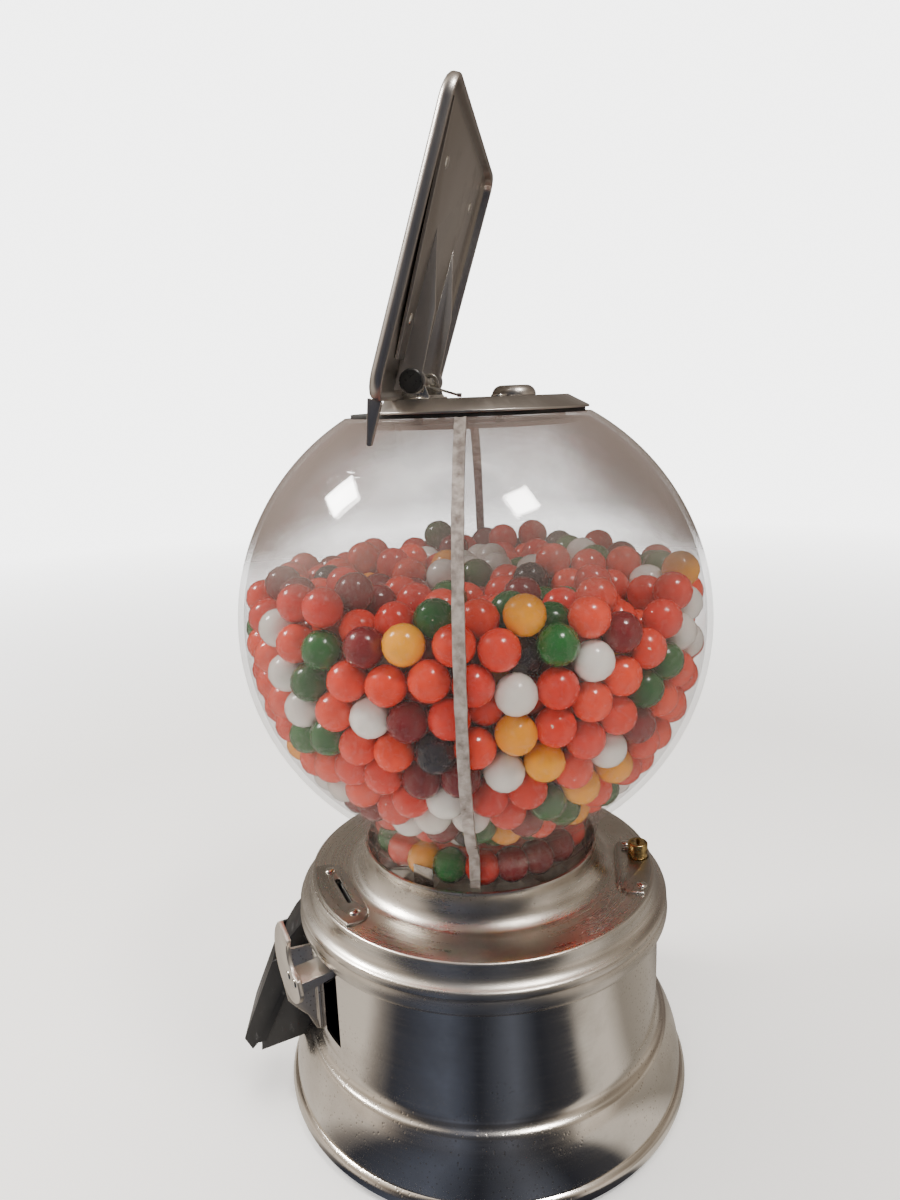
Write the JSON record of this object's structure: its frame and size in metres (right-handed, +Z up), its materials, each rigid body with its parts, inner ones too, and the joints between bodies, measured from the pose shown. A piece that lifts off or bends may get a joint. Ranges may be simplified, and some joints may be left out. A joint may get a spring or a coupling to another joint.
{
  "type": "gumball machine",
  "caption": "Push-lever gumball machine: plated round base, clear two-half globe of gumballs, sprung fill lid, coin slot, ball chute with a swinging door.",
  "frame": {"origin": "on the machine's own vertical axis, at the level of the surface it stands on", "axes": "+Z up, the ball chute faces -Y, and the lid hinge is over the chute side"},
  "size_m": [0.187, 0.1998, 0.3884],
  "materials": {
    "nickel_plate": "worn nickel plate, lightly pitted",
    "rivet_steel": "satin steel",
    "lid_steel": "dull plated steel with stains",
    "black_paint": "black enamel, slight sheen",
    "chute_pin_steel": "bright steel",
    "black_plastic": "moulded",
    "rubber": "matt",
    "clear_plastic": "clear aged plastic, hazed and scratched",
    "seam_cement": "cemented joint, mottled",
    "candy": "glossy hard sugar shell in six colours",
    "brass": "dull brass",
    "zinc_steel": "zinc plate",
    "wheel_plastic": "off-white moulding",
    "spring_steel": "oiled wire"
  },
  "bodies": {
    "base": {"base_shell": "nickel_plate", "shoulder_cap": "nickel_plate", "coin_plate": "nickel_plate", "lock_plate": "nickel_plate", "lever_guard": "nickel_plate", "neck_clips": "nickel_plate", "coin_plate_rivets": "rivet_steel", "lock_plate_rivets": "rivet_steel", "post_screws": "rivet_steel", "plate_screws": "rivet_steel", "slide_rivets": "rivet_steel", "hinge_pin": "rivet_steel", "hinge_bracket": "rivet_steel", "top_plate": "lid_steel", "catch_dome": "lid_steel", "clamp_ring": "lid_steel", "chute_housing": "black_paint", "chute_pins": "chute_pin_steel", "pin_knob": "black_plastic", "base_pad": "rubber", "globe_gasket": "rubber", "globe_half_front": "clear_plastic", "globe_half_back": "clear_plastic", "globe_seam": "seam_cement", "gumballs": "candy", "bottom_plate": "zinc_steel", "tie_posts": "zinc_steel", "coin_box": "zinc_steel", "coin_chute": "zinc_steel", "mechanism_plate": "zinc_steel", "wheel_stud": "zinc_steel", "ball_shield": "zinc_steel", "wheel_nut": "zinc_steel", "lever_bracket": "zinc_steel", "lever_pin": "zinc_steel", "ball_ramp": "zinc_steel", "neck_seat": "wheel_plastic", "torsion_spring": "spring_steel", "lever_spring": "spring_steel"},
    "lid": {"lid_shell": "lid_steel", "lid_bracket": "lid_steel", "lid_tab": "lid_steel", "lid_rivets": "rivet_steel"},
    "lock": {"lock_cylinder": "brass", "lock_cam": "brass"},
    "wheel": {"ball_wheel": "wheel_plastic", "ratchet": "zinc_steel"},
    "slide": {"drive_slide": "zinc_steel"},
    "lever": {"lever_arm": "nickel_plate", "lever_blade": "nickel_plate", "lever_rivets": "rivet_steel"},
    "door": {"chute_door": "black_paint"}
  },
  "joints": [
    {"name": "lid_hinge", "type": "hinge", "parent": "base", "child": "lid", "pos_m": [-0.00295, -0.01674, 0.3007], "axis": [-0.9848, 0.1736, 0], "range_deg": [0, 81], "stiffness_Nm_per_rad": 0.03, "springref_deg": -114.59},
    {"name": "lever_press", "type": "hinge", "parent": "base", "child": "lever", "pos_m": [0.017, -0.02944, 0.068], "axis": [0.866, 0.5, 0], "range_deg": [0, 34], "stiffness_Nm_per_rad": 0.12, "springref_deg": -34.38, "deforming": ["lever_spring"]},
    {"name": "slide_travel", "type": "slide", "parent": "base", "child": "slide", "axis": [0.5, -0.866, 0], "range_m": [0, 0.0078]},
    {"name": "ball_wheel_turn", "type": "hinge", "parent": "base", "child": "wheel", "pos_m": [0, 0, 0.09], "axis": [0, 0, 1], "range_deg": [-36, 0]},
    {"name": "chute_door_swing", "type": "hinge", "parent": "base", "child": "door", "pos_m": [0, -0.0793, 0.0644], "axis": [-1, 0, 0], "range_deg": [0, 55]},
    {"name": "lock_turn", "type": "hinge", "parent": "base", "child": "lock", "pos_m": [0.00904, 0.06657, 0.1], "axis": [0, 0, 1], "range_deg": [0, 90]}
  ],
  "couplings": [
    {"joint": "slide_travel", "follows": "lever_press", "m_per_rad": 0.013144},
    {"joint": "ball_wheel_turn", "follows": "lever_press", "ratio": -1.0588}
  ]
}
